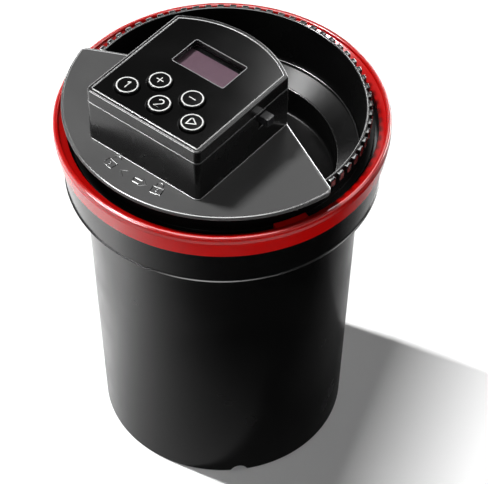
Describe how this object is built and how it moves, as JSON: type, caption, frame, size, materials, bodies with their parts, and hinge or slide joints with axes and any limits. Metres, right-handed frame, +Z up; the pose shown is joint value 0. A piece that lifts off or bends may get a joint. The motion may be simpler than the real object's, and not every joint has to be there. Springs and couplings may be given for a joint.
{
  "type": "rotary film processor",
  "caption": "Film developing tank with a red locking ring, funnel lid and driven head with display, push-buttons and slide switch; a geared spindle turns the reels inside.",
  "frame": {"origin": "centre of the tank's base on the table", "axes": "+Z up along the tank's axis, the head's front faces -Y, the slide switch is on +X"},
  "size_m": [0.124, 0.124, 0.1838],
  "materials": {
    "tank_black": "satin moulded",
    "ring_red": "gloss moulded",
    "funnel_black": "satin moulded",
    "seal_rubber": "matte",
    "plate_grey": "fine spark texture",
    "case_black": "semi-gloss moulded",
    "fascia_black": "satin film",
    "window_clear": "clear",
    "display_mauve": "unlit display glass",
    "button_black": "printed cap",
    "knob_black": "moulded",
    "plated_steel": "nickel plated",
    "board_green": "solder mask",
    "key_grey": "moulded",
    "cell_foil": "foil",
    "screw_steel": "zinc plated",
    "pod_black": "moulded",
    "gear_brass": "machined",
    "gear_white": "moulded acetal",
    "spindle_steel": "ground",
    "column_black": "moulded",
    "reel_white": "moulded",
    "clip_red": "moulded"
  },
  "bodies": {
    "tank": {"tank_body": "tank_black", "locking_ring": "ring_red"},
    "lid": {"funnel_lid": "funnel_black", "lid_seal": "seal_rubber"},
    "head": {"base_plate": "plate_grey", "lower_housing": "case_black", "upper_housing": "case_black", "fascia_panel": "fascia_black", "display_window": "window_clear", "display_module": "display_mauve", "key_switches": "key_grey", "control_board": "board_green", "board_screws": "screw_steel", "slide_switch": "plated_steel", "battery_cell": "cell_foil", "charge_socket": "plated_steel", "case_screws": "screw_steel", "drive_pod": "pod_black", "pod_screws": "screw_steel", "gear_plate": "plated_steel", "gear_plate_screws": "screw_steel", "motor_can": "plated_steel", "motor_gearbox": "gear_brass", "motor_screws": "screw_steel", "upper_bush": "gear_brass", "lower_bush": "gear_brass", "spindle_seal": "seal_rubber"},
    "motor_output": {"motor_shaft": "spindle_steel", "motor_pinion": "gear_brass"},
    "rotor": {"drive_gear": "gear_white", "drive_spindle": "spindle_steel", "spindle_clip": "screw_steel", "drive_coupler": "gear_white", "coupler_pin": "spindle_steel", "centre_column": "column_black", "reel_1_lower": "reel_white", "reel_2_lower": "reel_white", "column_clip": "clip_red"},
    "reel_1_top": {"reel_1_upper": "reel_white"},
    "reel_2_top": {"reel_2_upper": "reel_white"},
    "slider": {"power_slider": "knob_black"},
    "button_1": {"button_1": "button_black"},
    "button_2": {"button_2": "button_black"},
    "button_3": {"button_3": "button_black"},
    "button_4": {"button_4": "button_black"},
    "button_5": {"button_5": "button_black"}
  },
  "joints": [
    {"name": "lid_twist", "type": "hinge", "parent": "tank", "child": "lid", "pos_m": [0, 0, 0.1452], "axis": [0, 0, 1], "range_deg": [0, 30]},
    {"name": "head_twist", "type": "hinge", "parent": "lid", "child": "head", "pos_m": [0, 0, 0.1577], "axis": [0, 0, 1], "range_deg": [-25, 0]},
    {"name": "drive_spin", "type": "hinge", "parent": "head", "child": "rotor", "pos_m": [0, 0, 0.1402], "axis": [0, 0, 1], "continuous": true},
    {"name": "motor_spin", "type": "hinge", "parent": "head", "child": "motor_output", "pos_m": [0, -0.0108, 0.1402], "axis": [0, 0, 1], "continuous": true},
    {"name": "reel_1_twist", "type": "hinge", "parent": "rotor", "child": "reel_1_top", "pos_m": [0, 0, 0.033], "axis": [0, 0, 1], "range_deg": [-20, 20]},
    {"name": "reel_2_twist", "type": "hinge", "parent": "rotor", "child": "reel_2_top", "pos_m": [0, 0, 0.072], "axis": [0, 0, 1], "range_deg": [-20, 20]},
    {"name": "power_slide", "type": "slide", "parent": "head", "child": "slider", "axis": [0, 0, -1], "range_m": [0, 0.0024]},
    {"name": "button_1_press", "type": "slide", "parent": "head", "child": "button_1", "axis": [0, 0, -1], "range_m": [0, 0.0008], "stiffness_N_per_m": 1500},
    {"name": "button_2_press", "type": "slide", "parent": "head", "child": "button_2", "axis": [0, 0, -1], "range_m": [0, 0.0008], "stiffness_N_per_m": 1500},
    {"name": "button_3_press", "type": "slide", "parent": "head", "child": "button_3", "axis": [0, 0, -1], "range_m": [0, 0.0008], "stiffness_N_per_m": 1500},
    {"name": "button_4_press", "type": "slide", "parent": "head", "child": "button_4", "axis": [0, 0, -1], "range_m": [0, 0.0008], "stiffness_N_per_m": 1500},
    {"name": "button_5_press", "type": "slide", "parent": "head", "child": "button_5", "axis": [0, 0, -1], "range_m": [0, 0.0008], "stiffness_N_per_m": 1500}
  ],
  "couplings": [
    {"joint": "motor_spin", "follows": "drive_spin", "ratio": -2}
  ]
}
